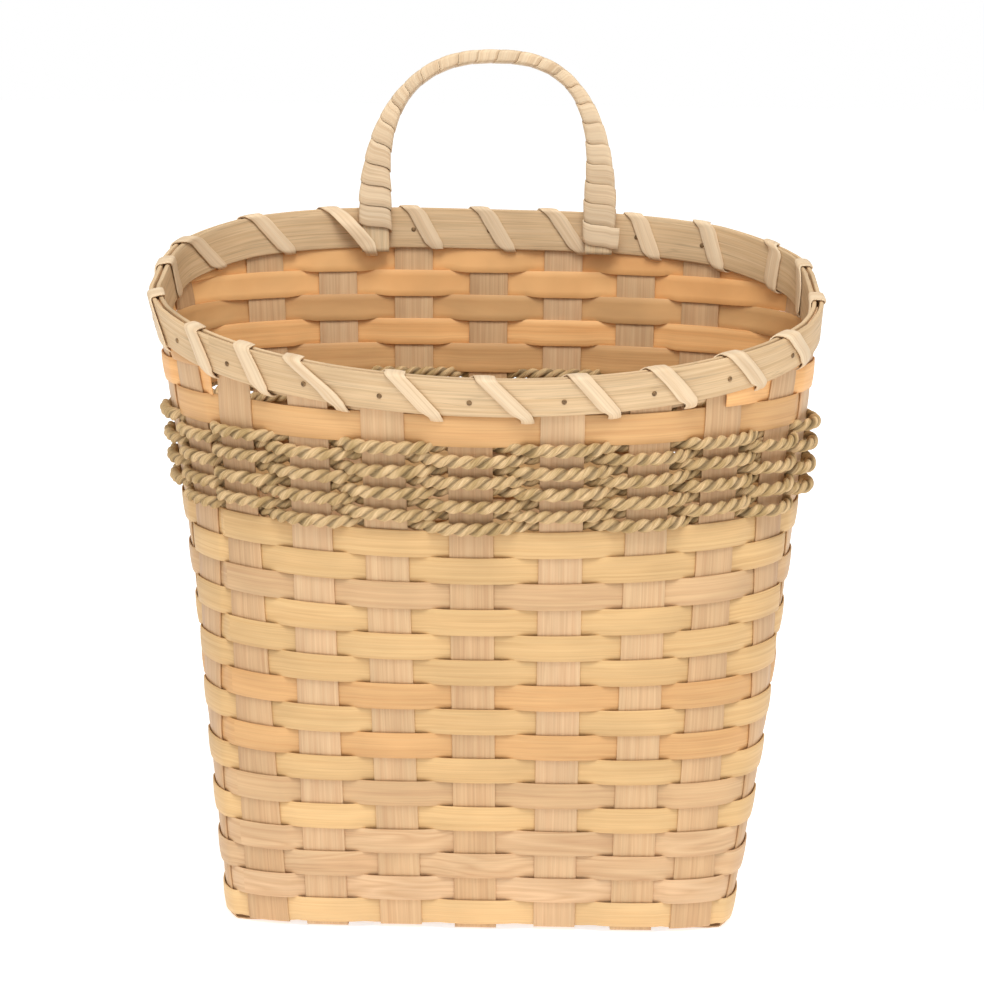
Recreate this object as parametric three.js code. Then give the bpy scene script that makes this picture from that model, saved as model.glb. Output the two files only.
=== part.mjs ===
// Wall basket: splints woven round flat stakes, a band of twisted seagrass rope,
// a sloping rim of two bands lashed with a flat strip, and a wrapped hanging handle.
// Units are millimetres, Z is up, and the front faces -Y.

import * as THREE from 'three';

// Clearance between touching pieces
const gap = 0.3;

// Body, measured on the middle surface of the wall
const baseHalfWidth = 116;
const baseHalfDepth = 60;
const baseSquareness = 8;
const mouthHalfWidth = 150.5;
const mouthHalfDepth = 97;
const mouthRoundFront = 1.9;
const mouthRoundBack = 3;
const mouthHeight = 287.5;
const squareFade = 3;
const belly = 2;
const lopsided = 3;

// Stakes
const stakeWidth = 19;
const stakeThickness = 0.7;
const stakeEdge = 0.6;
const longStakes = 7;
const longStakeToBaseEnd = 17;
const longStakeToMouthEnd = 43.7;
const longStakeSpread = 0.08;
const crossStakeToBaseEdge = 15;
const crossPairBase = 33;
const crossPairMouth = 31;
const crossStepFront = 23;
const crossStepBack = 25.5;
const baseBend = 2.2;
const stakeTopRecess = 1.5;

// Each long stake stands a little off its even place, as the hand-woven one does: the
// lists hold each one's drift in these units
const driftUnit = 1;
const driftBase = [3, 0, 0.4, -0.8, 0, 1.6, -1.2];
const driftFront = [-3, -0.5, -4.5, -4.7, -3.2, -1.5, -0.9];
const driftBack = [-4.6, -2, -0.5, -1, -2, -2, -2.5];

// Most that a stake's facet may leave its true surface, and its least height
const facetError = 0.08;
const facetLeast = 4;

// Splint weavers: the rows below and above the rope band share out the wall's height
const weaverThickness = 0.7;
const rowGap = 0.4;
const lowerRows = 16;
const rowsOverRope = 4.367;
const firstRowLift = 1.4;
const shortRows = 4;
const shortRowLeast = 3.5;

// Seagrass rope
const ropeDiameter = 4.6;
const ropeRows = 8;
const ropeEdge = 1.0;

// Rim
const rimSlope = 0.258;
const rimTilt = -0.012;
const bandHeight = 16.5;
const innerBandHeight = 19;
const bandThickness = 2.0;

// Rim lashing
const lashWidth = 7.6;
const lashPinch = 5.4;
const lashThickness = 0.8;
const lashCorner = 0.4;

// Handle
const footWidth = 13.5;
const footThickness = 2.4;
const bowHeight = 4;
const bowDepth = 6;
const coreChamfer = 0.6;
const footDrop = 2;
const archRise = 69.6;
const archLift = 4;
const archRound = 2.5;
const archShift = -2;
const bowShift = 3;
const taperStart = 2;
const taperLength = 52;
const wrapTurns = 24;
const wrapSpacing = 0.85;
const wrapThickness = 0.8;
const wrapClearance = 0.5;
const wrapCorner = 0.9;
const wrapToFoot = 3;
const wrapTail = 3;

// Nails, one to a stake along the front and on four stakes inside the back
const nailHead = 2.2;
const nailHeadHeight = 0.5;
const nailDrop = 1.2;

// Colours
const stakeColour = 0xdcb992;
const weaverColours = [0xe8c27e, 0xdcb48c, 0xd9b691, 0xe2bd8b, 0xe9c98c];
const ropeColour = 0xb59a6b;
const bandColour = 0xe6cf9c;
const lashColour = 0xf0e0c0;
const wrapColour = 0xe3cda6;
const nailColour = 0x6f6258;

const group = new THREE.Group();
group.name = 'wall_basket';

const X = new THREE.Vector3(1, 0, 0);
const Y = new THREE.Vector3(0, 1, 0);
const Z = new THREE.Vector3(0, 0, 1);

const lerp = (a, b, f) => a + (b - a) * f;
const along = (p, ...terms) => {
  const q = p.clone();
  for (let i = 0; i < terms.length; i += 2) q.addScaledVector(terms[i], terms[i + 1]);
  return q;
};
const smooth = (f) => {
  const c = Math.min(1, Math.max(0, f));
  return c * c * (3 - 2 * c);
};

// Wall surface: a rounded rectangle at the base that opens into an oval mouth. Between
// them the ends swell, and the right one swells more, as on the hand-woven basket.
const halfWidth = (z, side) => {
  const swell = Math.sin(Math.PI * Math.min(1, Math.max(0, z / mouthHeight)));
  const straight = lerp(baseHalfWidth, mouthHalfWidth, z / mouthHeight);
  return straight + (belly + side * lopsided) * swell;
};
const halfDepth = (z) => lerp(baseHalfDepth, mouthHalfDepth, z / mouthHeight);
const squareness = (z, back) => {
  const round = back ? mouthRoundBack : mouthRoundFront;
  const left = Math.max(0, 1 - z / mouthHeight);
  return round + (baseSquareness - round) * left ** squareFade;
};
const rest = (share, n) => Math.max(1e-6, 1 - Math.min(1, Math.abs(share)) ** n) ** (1 / n);

// Legs are the 22 upright stretches of the stakes, counted round from the front left
const legs = [];
const longSteps = (longStakes - 1) / 2;
const driftOf = (list, i) => driftUnit * (list[i + longSteps] ?? 0);
const longX = (i, z, drift) => {
  const u = i / longSteps;
  const spread = u * (1 + longStakeSpread * (1 - u * u));
  const base = (baseHalfWidth - longStakeToBaseEnd) * spread + driftOf(driftBase, i);
  const mouth = (mouthHalfWidth - longStakeToMouthEnd) * spread + driftOf(drift, i);
  return lerp(base, mouth, z / mouthHeight);
};
const crossY = (j, z) => {
  const step = j < 0 ? crossStepFront : crossStepBack;
  const outer = lerp(baseHalfDepth - crossStakeToBaseEdge, crossPairMouth / 2 + step,
    z / mouthHeight);
  const inner = lerp(crossPairBase, crossPairMouth, z / mouthHeight) / 2;
  const level = Math.abs(j) === 2 ? outer : inner;
  return Math.sign(j) * level;
};
const crossOrder = [-2, -1, 1, 2];
for (let i = -longSteps; i <= longSteps; i++) legs.push({ kind: 'long', at: i, side: -1 });
for (const j of crossOrder) legs.push({ kind: 'cross', at: j, side: 1 });
for (let i = longSteps; i >= -longSteps; i--) legs.push({ kind: 'long', at: i, side: 1 });
for (const j of [...crossOrder].reverse()) legs.push({ kind: 'cross', at: j, side: -1 });

const legPoint = (leg, z) => {
  const b = halfDepth(z);
  if (leg.kind === 'long') {
    const x = longX(leg.at, z, leg.side > 0 ? driftBack : driftFront);
    const a = halfWidth(z, Math.sign(x));
    return new THREE.Vector3(x, leg.side * b * rest(x / a, squareness(z, leg.side > 0)), z);
  }
  const y = crossY(leg.at, z);
  const a = halfWidth(z, leg.side);
  return new THREE.Vector3(leg.side * a * rest(y / b, squareness(z, y > 0)), y, z);
};

// A leg's frame: P on the wall, T along the wall, U up the leg, N outward
const legFrame = (leg, z) => {
  const p = legPoint(leg, z);
  const n = squareness(z, p.y > 0);
  const a = halfWidth(z, Math.sign(p.x));
  const b = halfDepth(z);
  const out = new THREE.Vector3(
    Math.sign(p.x) * Math.abs(p.x / a) ** (n - 1) / a,
    Math.sign(p.y) * Math.abs(p.y / b) ** (n - 1) / b,
    0,
  ).normalize();
  const t = new THREE.Vector3().crossVectors(Z, out);
  const u = legPoint(leg, z + gap).sub(legPoint(leg, z - gap)).normalize();
  const nrm = new THREE.Vector3().crossVectors(t, u).normalize();
  return { p, t, u, n: nrm, out };
};

// Wall corners: two at each leg, just past its edges, so every ring has the same facets
const corners = legs.length * 2;
const cornerFrame = (k, z, edge) => {
  const leg = legs[Math.floor(k / 2) % legs.length];
  const f = legFrame(leg, z);
  const reach = (k % 2 ? 1 : -1) * (stakeWidth / 2 + edge);
  return { ...f, p: along(f.p, f.t, reach) };
};
const wrapIndex = (k) => ((k % corners) + corners) % corners;

// Any place round the wall: v counts corners, v + 0.5 is halfway to the next one
const wallFrame = (v, z) => {
  const k = Math.floor(v);
  const f = v - k;
  const a = cornerFrame(wrapIndex(k), z, stakeEdge);
  const b = cornerFrame(wrapIndex(k + 1), z, stakeEdge);
  const mix = (key) => a[key].clone().lerp(b[key], f).normalize();
  return { p: a.p.clone().lerp(b.p, f), t: mix('t'), u: mix('u'), n: mix('n') };
};

// Rim heights follow a plane that rises to the back and dips a little to the right
const solveHeight = (place, offset) => {
  let z = mouthHeight;
  for (let i = 0; i < 6; i++) {
    const p = place(z);
    z = mouthHeight + rimSlope * p.y + rimTilt * p.x + offset;
  }
  return z;
};
const rimTop = (v) => solveHeight((z) => wallFrame(v, z).p, 0);
const rimLow = (v) => solveHeight((z) => wallFrame(v, z).p, -bandHeight);
const rimLowIn = (v) => solveHeight((z) => wallFrame(v, z).p, -innerBandHeight);

// Layers across the wall
const weaveOffset = stakeThickness / 2 + gap + weaverThickness / 2;
const ropeSide = ropeDiameter / 2 * Math.cos(Math.PI / 6);
const ropeOffset = stakeThickness / 2 + gap + ropeSide;
const bandIn = stakeThickness / 2 + gap;
const bandOut = bandIn + bandThickness;
const lashOffset = bandOut + gap + lashThickness / 2;
const lashRise = gap + lashThickness / 2;
const trimSlit = lashThickness + 2.4 * gap;

// Row heights
const baseTop = 2 * stakeThickness + gap;
const firstRow = baseTop + firstRowLift;
const ropePitch = ropeDiameter + rowGap;
const rowPitch = (mouthHeight - firstRow - ropeRows * ropePitch) / (lowerRows + rowsOverRope);
const weaverHeight = rowPitch - rowGap;
const ropeStart = firstRow + lowerRows * rowPitch;
const upperStart = ropeStart + ropeRows * ropePitch;
const rowEdges = [];
for (let r = 0; r <= lowerRows; r++) rowEdges.push(firstRow + r * rowPitch);
rowEdges.push((ropeStart + upperStart) / 2);
for (let r = 0; r <= shortRows + 1; r++) rowEdges.push(upperStart + r * rowPitch);

// Solid from a list of sections, each a ring of points; closed rings have no ends.
// Each four-cornered facet is split along the diagonal that keeps the solid slimmer.
// A flat strip that twists keeps its thickness where its two faces are split the same way
const sweep = (sections, closed, flat = false) => {
  const sides = sections[0].length;
  const count = sections.length;
  const points = sections.flat();
  const volume = (a, b, c) => points[a].dot(points[b].clone().cross(points[c]));
  const spans = closed ? count : count - 1;
  const quads = [];
  for (let i = 0; i < spans; i++) {
    const a = i * sides;
    const b = ((i + 1) % count) * sides;
    for (let j = 0; j < sides; j++) {
      const k = (j + 1) % sides;
      quads.push([a + j, b + j, b + k, a + k]);
    }
  }
  const ends = [];
  const last = (count - 1) * sides;
  for (let j = 1; j < sides - 1 && !closed; j++) {
    ends.push([0, j, j + 1], [last, last + j + 1, last + j]);
  }
  let total = 0;
  for (const [a, b, c, d] of quads) total += volume(a, b, c) + volume(a, c, d);
  for (const [a, b, c] of ends) total += volume(a, b, c);
  const turned = total < 0;
  const index = [];
  const face = (a, b, c) => (turned ? index.push(a, c, b) : index.push(a, b, c));
  quads.forEach(([a, b, c, d], q) => {
    const bulges = flat && q % sides >= sides / 2;
    const first = volume(a, b, c) + volume(a, c, d);
    const second = volume(a, b, d) + volume(b, c, d);
    if (first < second === (turned === bulges)) {
      face(a, b, c);
      face(a, c, d);
    } else {
      face(a, b, d);
      face(b, c, d);
    }
  });
  for (const end of ends) face(...end);
  const geometry = new THREE.BufferGeometry();
  const positions = points.flatMap((p) => [p.x, p.y, p.z]);
  geometry.setAttribute('position', new THREE.Float32BufferAttribute(positions, 3));
  geometry.setIndex(index);
  geometry.computeVertexNormals();
  return geometry;
};

// Leaves out the sections that a straight run between their neighbours replaces
const thin = (sections) => {
  const fits = (i, j) => {
    const a = sections[i];
    const b = sections[j];
    const twist = along(a[0], a[1], -1, b[0], -1, b[1], 1).length() / 4;
    if (twist > facetError) return false;
    for (let m = i + 1; m < j; m++) {
      for (let c = 0; c < a.length; c++) {
        const near = new THREE.Line3(a[c], b[c])
          .closestPointToPoint(sections[m][c], true, new THREE.Vector3());
        if (near.distanceTo(sections[m][c]) > facetError) return false;
      }
    }
    return true;
  };
  const kept = [sections[0]];
  let i = 0;
  while (i < sections.length - 1) {
    let j = i + 1;
    while (j < sections.length - 1 && fits(i, j + 1)) j++;
    kept.push(sections[j]);
    i = j;
  }
  return kept;
};

const add = (name, geometry, color, roughness = 0.7) => {
  const material = new THREE.MeshStandardMaterial({ color, roughness, metalness: 0 });
  const mesh = new THREE.Mesh(geometry, material);
  mesh.name = name;
  group.add(mesh);
};

// Rectangle section: centre, half vectors across and through
const flatSection = (c, across, through) => [
  along(c, across, -1, through, -1),
  along(c, across, 1, through, -1),
  along(c, across, 1, through, 1),
  along(c, across, -1, through, 1),
];

// Stakes: each runs down one wall, through the woven base and up the other wall
const strand = stakeThickness + gap;
const baseMiddle = stakeThickness / 2 + strand / 2;
const legSections = (leg, level) => {
  const sections = [];
  const start = level + baseBend;
  const k = legs.indexOf(leg);
  const top = rimTop(2 * k + 0.5) - stakeTopRecess;
  const between = rowEdges.filter((z) => z > start + facetLeast && z < top - facetLeast);
  const levels = [start, ...between, top];
  const half = stakeWidth / 2;
  const foot = legFrame(leg, start);
  const inward = along(foot.p, foot.out, -baseBend, Z, -baseBend);
  const turn = foot.out.clone().add(Z.clone().negate()).normalize();
  const heel = along(inward, foot.out, baseBend * 0.68, Z, baseBend * 0.32);
  sections.push(flatSection(heel, foot.t.clone().multiplyScalar(half),
    turn.multiplyScalar(stakeThickness / 2)));
  const rising = [];
  for (const z of levels) {
    const f = legFrame(leg, z);
    const across = f.t.clone().multiplyScalar(half);
    if (z === top) across.addScaledVector(f.u, half * (f.t.y * rimSlope + f.t.x * rimTilt));
    rising.push(flatSection(f.p, across, f.n.clone().multiplyScalar(stakeThickness / 2)));
  }
  sections.push(...thin(rising));
  return { sections, inward };
};

const baseLevel = (i, j) => baseMiddle + ((i + j) % 2 === 0 ? strand / 2 : -strand / 2);
const stake = (name, first, second, run, crossings) => {
  const across = new THREE.Vector3().crossVectors(Z, run);
  const low = crossings[0].level;
  const high = crossings[crossings.length - 1].level;
  const down = legSections(first, low);
  const up = legSections(second, high);
  const bottom = [];
  const half = across.clone().multiplyScalar(-stakeWidth / 2);
  const through = Z.clone().multiplyScalar(-stakeThickness / 2);
  const place = (p, level) => {
    const c = p.clone();
    c.z = level;
    bottom.push(flatSection(c, half, through));
  };
  const start = down.inward.dot(run);
  const end = up.inward.dot(run);
  place(along(run.clone().multiplyScalar(start), across, down.inward.dot(across)), low);
  for (const c of crossings) {
    for (const s of [-1, 1]) {
      const w = c.at + s * (stakeWidth / 2 + stakeEdge);
      const outside = w < start + 3 * gap || w > end - 3 * gap;
      if (!outside) place(along(run.clone().multiplyScalar(w), across, c.shift), c.level);
    }
  }
  place(along(run.clone().multiplyScalar(end), across, up.inward.dot(across)), high);
  const flip = (s) => [s[1], s[0], s[3], s[2]];
  const sections = [...down.sections.reverse(), ...bottom, ...up.sections.map(flip)];
  add(name, sweep(sections, false), stakeColour);
};

for (let i = -longSteps; i <= longSteps; i++) {
  const front = legs.find((l) => l.kind === 'long' && l.at === i && l.side < 0);
  const back = legs.find((l) => l.kind === 'long' && l.at === i && l.side > 0);
  const crossings = crossOrder.map((j, row) => ({
    at: crossY(j, 0), level: baseLevel(i + longSteps, row), shift: -longX(i, 0, driftFront),
  }));
  stake(`stake_long_${i + longSteps + 1}`, front, back, Y, crossings);
}
crossOrder.forEach((j, row) => {
  const left = legs.find((l) => l.kind === 'cross' && l.at === j && l.side < 0);
  const right = legs.find((l) => l.kind === 'cross' && l.at === j && l.side > 0);
  const crossings = [];
  for (let i = -longSteps; i <= longSteps; i++) {
    const level = 2 * baseMiddle - baseLevel(i + longSteps, row);
    crossings.push({ at: longX(i, 0, driftFront), level, shift: crossY(j, 0) });
  }
  stake(`stake_cross_${row + 1}`, left, right, X, crossings);
});

// Splint rows pass outside one stake and inside the next
const rowSide = (leg, row) => ((leg + row) % 2 === 0 ? 1 : -1);
const weaverSection = (k, row, low, high) => {
  const offset = rowSide(Math.floor(k / 2), row) * weaveOffset;
  const a = cornerFrame(k, low, stakeEdge);
  const b = cornerFrame(k, high, stakeEdge);
  const half = weaverThickness / 2;
  return [
    along(a.p, a.n, offset - half),
    along(a.p, a.n, offset + half),
    along(b.p, b.n, offset + half),
    along(b.p, b.n, offset - half),
  ];
};
// No row rises past the slit that the rim lashing needs below the bands
const trimmed = (k, high) => Math.min(high, rimLowIn(k) - trimSlit);
const weaverRow = (name, row, low, color) => {
  const sections = [];
  for (let k = 0; k < corners; k++) {
    sections.push(weaverSection(k, row, low, trimmed(k, low + weaverHeight)));
  }
  add(name, sweep(sections, true), color);
};
for (let r = 1; r <= lowerRows; r++) {
  const name = `weaver_${String(r).padStart(2, '0')}`;
  const color = weaverColours[(r * 2) % weaverColours.length];
  weaverRow(name, r, firstRow + (r - 1) * rowPitch, color);
}
const fullUpperRow = lowerRows + ropeRows + 1;
weaverRow(`weaver_${lowerRows + 1}`, fullUpperRow, upperStart, weaverColours[1]);

// Short rows build up the back and end where the sloping rim covers them
for (let r = 1; r <= shortRows; r++) {
  const row = fullUpperRow + r;
  const low = upperStart + r * rowPitch;
  const high = low + weaverHeight;
  const kept = [];
  const first = longStakes;
  const last = legs.length - 1;
  for (let m = first; m <= last; m++) {
    if (trimmed(2 * m + 0.5, high) - low < shortRowLeast) continue;
    kept.push(2 * m, 2 * m + 1);
  }
  const sections = kept.map((k) => weaverSection(k, row, low, trimmed(k, high)));
  add(`short_weaver_${r}`, sweep(sections, false), weaverColours[(r + 1) % weaverColours.length]);
}

// Seagrass rope rows, six-sided, woven like the splints
const ropeSection = (k, row, z) => {
  const f = cornerFrame(k, z, ropeEdge);
  const c = along(f.p, f.n, rowSide(Math.floor(k / 2), row) * ropeOffset);
  const points = [];
  for (let s = 0; s < 6; s++) {
    const angle = (s / 6) * 2 * Math.PI;
    const radius = ropeDiameter / 2;
    points.push(along(c, f.u, radius * Math.cos(angle), f.n, radius * Math.sin(angle)));
  }
  return points;
};
for (let r = 1; r <= ropeRows; r++) {
  const z = ropeStart + (r - 0.5) * ropePitch;
  const sections = [];
  for (let k = 0; k < corners; k++) sections.push(ropeSection(k, lowerRows + r, z));
  add(`seagrass_rope_${r}`, sweep(sections, true), ropeColour, 0.9);
}

// Rim bands: flat strips outside and inside the stake tops
const rimBand = (name, inner, outer, low) => {
  const sections = [];
  for (let k = 0; k < corners; k++) {
    const a = wallFrame(k, low(k));
    const b = wallFrame(k, rimTop(k));
    sections.push([
      along(a.p, a.n, inner),
      along(a.p, a.n, outer),
      along(b.p, b.n, outer),
      along(b.p, b.n, inner),
    ]);
  }
  add(name, sweep(sections, true), bandColour);
};
rimBand('rim_band_outer', bandIn, bandOut, rimLow);
rimBand('rim_band_inner', -bandOut, -bandIn, rimLowIn);

// Least distance between parts of one strip that lie at least a given run apart
const leastGap = (sections, apart) => {
  let least = Infinity;
  for (let i = 0; i < sections.length - 1; i++) {
    for (let j = i + apart; j < sections.length - 1; j++) {
      for (const [p, q] of [[i, j], [j, i]]) {
        for (let c = 0; c < sections[p].length; c++) {
          for (let s = 0; s < sections[q].length; s++) {
            const a = sections[q][s];
            const b = sections[q + 1][s];
            const point = sections[p][c];
            const line = new THREE.Line3(a, b);
            const near = line.closestPointToPoint(point, true, new THREE.Vector3());
            least = Math.min(least, near.distanceTo(point));
          }
        }
      }
    }
  }
  return least;
};

// Handle: its feet stand inside the back of the inner band, midway between two stakes
const handleLeg = legs.findIndex((l) => l.kind === 'long' && l.at === -1 && l.side > 0);
const footV = 2 * handleLeg + 1.5;
const lashBehind = bandOut + gap + lashThickness;
const wrapReach = wrapClearance + wrapThickness / 2;
const coreOffset = lashBehind + gap + wrapClearance + wrapThickness + footThickness / 2;
const footFrame = wallFrame(footV, rimLowIn(footV));
const brimFrame = wallFrame(footV, rimTop(footV));
const footPoint = along(footFrame.p, footFrame.n, -coreOffset, footFrame.u, -footDrop);
const brimPoint = along(brimFrame.p, brimFrame.n, -coreOffset);
const springZ = brimPoint.z + archLift;
const lean = (brimPoint.y - footPoint.y) / (brimPoint.z - footPoint.z);
const reach = archShift - brimPoint.x;
const handleY = (z) => brimPoint.y + lean * (z - brimPoint.z);
const bowX = (z) => archShift + bowShift * Math.max(0, (z - springZ) / archRise) ** 2;

// Centre line of the handle from the left foot over the bow to the right foot
const handleLine = [footPoint.clone(), footPoint.clone().lerp(brimPoint, 0.5), brimPoint.clone()];
const bowSteps = 48;
for (let i = 1; i <= bowSteps / 2; i++) {
  const angle = (i / bowSteps) * Math.PI;
  const z = springZ + archRise * Math.sin(angle) ** (2 / archRound);
  const x = i === bowSteps / 2 ? 0 : -reach * Math.cos(angle) ** (2 / archRound);
  handleLine.push(new THREE.Vector3(x + bowX(z), handleY(z), z));
}
for (let i = handleLine.length - 2; i >= 0; i--) {
  const p = handleLine[i];
  handleLine.push(new THREE.Vector3(2 * bowX(p.z) - p.x, p.y, p.z));
}
const handleCurve = new THREE.CatmullRomCurve3(handleLine, false, 'centripetal');
handleCurve.arcLengthDivisions = 800;
const handleLength = handleCurve.getLength();

// Frame at a length along the handle: W away from the opening, N to the front. The feet
// lie flat on the band and slim down into the bow.
const handleFrame = (length) => {
  const share = Math.min(1, Math.max(0, length / handleLength));
  const p = handleCurve.getPointAt(share);
  const d = handleCurve.getTangentAt(share);
  const front = new THREE.Vector3(0, -1, lean).normalize();
  const onBand = footFrame.n.clone().negate();
  if (share > 0.5) onBand.x *= -1;
  const rise = p.z - springZ;
  const face = onBand.lerp(front, smooth(rise / taperLength));
  const n = along(face, d, -face.dot(d)).normalize();
  const w = new THREE.Vector3().crossVectors(n, d).normalize();
  const taper = Math.min(1, Math.max(0, (rise - taperStart) / taperLength));
  const wide = lerp(footWidth, bowHeight, taper) / 2;
  const deep = lerp(footThickness, bowDepth, taper) / 2;
  return { p, d, w, n, wide, deep };
};
const coreSteps = 44;
const coreSections = [];
for (let i = 0; i <= coreSteps; i++) {
  const f = handleFrame(handleLength * i / coreSteps);
  const w = f.wide;
  const t = f.deep;
  const c = coreChamfer;
  const outline = [[w, c - t], [w, t - c], [w - c, t], [c - w, t], [-w, t - c], [-w, c - t],
    [c - w, -t], [w - c, -t]];
  coreSections.push(outline.map(([a, b]) => along(f.p, f.w, a, f.n, b)));
}
add('handle_core', sweep(coreSections, false), stakeColour);

// Handle wrap: one flat strip wound round the core from foot to foot. It goes round by
// these corners: across the outer edge, the back, the inner edge and then the front.
const wrapCorners = [[1, 1, 0], [1, 1, 1], [1, -1, 1], [1, -1, 0],
  [-1, -1, 0], [-1, -1, 1], [-1, 1, 1], [-1, 1, 0]];
const bisect = Math.PI / 8;
const wrapPlace = (f, corner) => {
  const [sideW, sideN, onEdge] = wrapCorners[corner];
  const w = f.wide + wrapReach - (onEdge ? 0 : wrapCorner);
  const n = f.deep + wrapReach - (onEdge ? wrapCorner : 0);
  const out = onEdge ? [Math.cos(bisect), Math.sin(bisect)] : [Math.sin(bisect), Math.cos(bisect)];
  return { w: sideW * w, n: sideN * n, out: [sideW * out[0], sideN * out[1]] };
};
const roundShares = (() => {
  const middle = { wide: (footWidth + bowHeight) / 4, deep: (footThickness + bowDepth) / 4 };
  const run = [0];
  for (let i = 1; i <= wrapCorners.length; i++) {
    const a = wrapPlace(middle, i - 1);
    const b = wrapPlace(middle, i % wrapCorners.length);
    run.push(run[i - 1] + Math.hypot(a.w - b.w, a.n - b.n));
  }
  return run.map((r) => r / run[wrapCorners.length]);
})();
const wrapFrom = 3;
const wrapPitch = (handleLength - 2 * wrapToFoot) / (wrapTurns + 1);
const wrapWidth = wrapPitch - wrapSpacing;
const wrapPoint = (length, corner, lift, beyond) => {
  const f = handleFrame(length);
  const c = wrapPlace(f, corner);
  return along(f.p, f.w, c.w + c.out[0] * lift + beyond, f.n, c.n + c.out[1] * lift);
};
const wrapSection = (at, corner, beyond) => {
  const h = wrapWidth / 2;
  const t = wrapThickness / 2;
  return [
    wrapPoint(at - h, corner, -t, beyond),
    wrapPoint(at + h, corner, -t, beyond),
    wrapPoint(at + h, corner, t, beyond),
    wrapPoint(at - h, corner, t, beyond),
  ];
};
const wrapSections = [];
const sidesRound = wrapCorners.length;
for (let i = wrapFrom; i <= wrapTurns * sidesRound; i++) {
  const corner = i % sidesRound;
  const turn = Math.floor(i / sidesRound);
  const at = wrapToFoot + (turn + roundShares[corner] + 0.5) * wrapPitch;
  wrapSections.push(wrapSection(at, corner, 0));
}
const tailAt = wrapToFoot + (wrapTurns + 0.5) * wrapPitch;
wrapSections.push(wrapSection(tailAt, 0, wrapCorner + wrapTail));
add('handle_wrap', sweep(wrapSections, false), wrapColour);
console.log('handle wrap least gap', leastGap(wrapSections, sidesRound - 2).toFixed(2));

// Rim lashing: one flat strip wound round both bands, one turn to each stake gap
const rimPoint = (v, height, offset, rise) => {
  const f = wallFrame(v, height(v));
  return along(f.p, f.n, offset, f.u, rise);
};
const lashSection = (v, height, offset, rise, through, width = lashWidth) => {
  const f = wallFrame(v, height(v));
  const c = rimPoint(v, height, offset, rise);
  const before = v - 0.02;
  const run = wallFrame(v, height(v)).p.sub(wallFrame(before, height(before)).p);
  const across = run.normalize().multiplyScalar(width / 2);
  const thick = along(new THREE.Vector3(), f.n, through[0], f.u, through[1]).normalize();
  return flatSection(c, across, thick.multiplyScalar(lashThickness / 2));
};
const overTop = 0.1;
const underEdge = 0.06;
const steep = 0.9;
const slight = 0.4;
const cornerEase = 0.5;
const lashLoop = (m) => {
  const top = 2 * m + 0.5 + overTop;
  const corner = 2 * m + 1;
  const bottom = 2 * m + 1.5;
  const next = 2 * m + 2.5 + overTop;
  const o = lashOffset;
  const c = lashCorner;
  const overFoot = m === handleLeg;
  const inner = overFoot ? coreOffset + footThickness / 2 + wrapClearance + wrapThickness
    + gap + lashThickness / 2 : o;
  const low = lashRise + (overFoot ? footDrop : 0);
  const facet = (v) => wallFrame(v, mouthHeight).p.sub(wallFrame(v - 0.1, mouthHeight).p);
  const bend = facet(corner).angleTo(facet(corner + 0.1));
  const round = lashWidth * cornerEase * Math.sin(bend);
  const brim = rimPoint(top + 0.06, rimTop, o, 0);
  const turn = rimPoint(corner, rimTop, o, 0);
  const hem = rimPoint(bottom - 0.1, rimTop, o, 0);
  const first = brim.distanceTo(turn);
  const share = first / (first + turn.distanceTo(hem));
  const loop = [
    lashSection(top + 0.04, rimTop, o - c, lashRise, [slight, steep]),
    lashSection(top + 0.06, rimTop, o, lashRise - c, [steep, slight]),
    lashSection(corner, (v) => lerp(rimTop(v), rimLow(v), share), o + round, 0, [1, 0]),
    lashSection(bottom - 0.1, rimLow, o, c - lashRise, [steep, -slight]),
    lashSection(bottom - underEdge, rimLow, o - c, -lashRise, [slight, -steep], lashPinch),
    lashSection(bottom, rimLowIn, 0, -lashRise, [0, -1], lashPinch),
  ];
  if (overFoot) {
    const behindFoot = footThickness / 2 - coreOffset;
    loop.push(
      lashSection(bottom + underEdge / 2, rimLowIn, behindFoot, -low, [0, -1], lashPinch),
    );
  }
  loop.push(
    lashSection(bottom + underEdge, rimLowIn, c - inner, -low, [-slight, -steep], lashPinch),
    lashSection(bottom + 0.1, rimLowIn, -inner, c - low, [-steep, -slight]),
  );
  if (overFoot) {
    const beside = (v) => lerp(rimLowIn(v), rimTop(v), 0.5);
    loop.push(lashSection(2 * m + 2.16, beside, -inner, 0, [-1, 0]));
  }
  loop.push(
    lashSection(next - 0.14, rimTop, -o, lashRise - c, [-steep, slight]),
    lashSection(next - 0.1, rimTop, c - o, lashRise, [-slight, steep]),
  );
  return loop;
};
const lashStartLeg = legs.findIndex((l) => l.kind === 'long' && l.at === 0 && l.side > 0);
const lashSections = [];
for (let i = 0; i <= legs.length; i++) {
  const m = (lashStartLeg + i) % legs.length;
  const loop = lashLoop(m);
  if (i === 0) lashSections.push(...loop.slice(7));
  else if (i === legs.length) lashSections.push(...loop.slice(0, 4));
  else lashSections.push(...loop);
}
add('rim_lashing', sweep(lashSections, false, true), lashColour);
console.log('rim lashing least gap', leastGap(lashSections, 5).toFixed(2));

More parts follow.
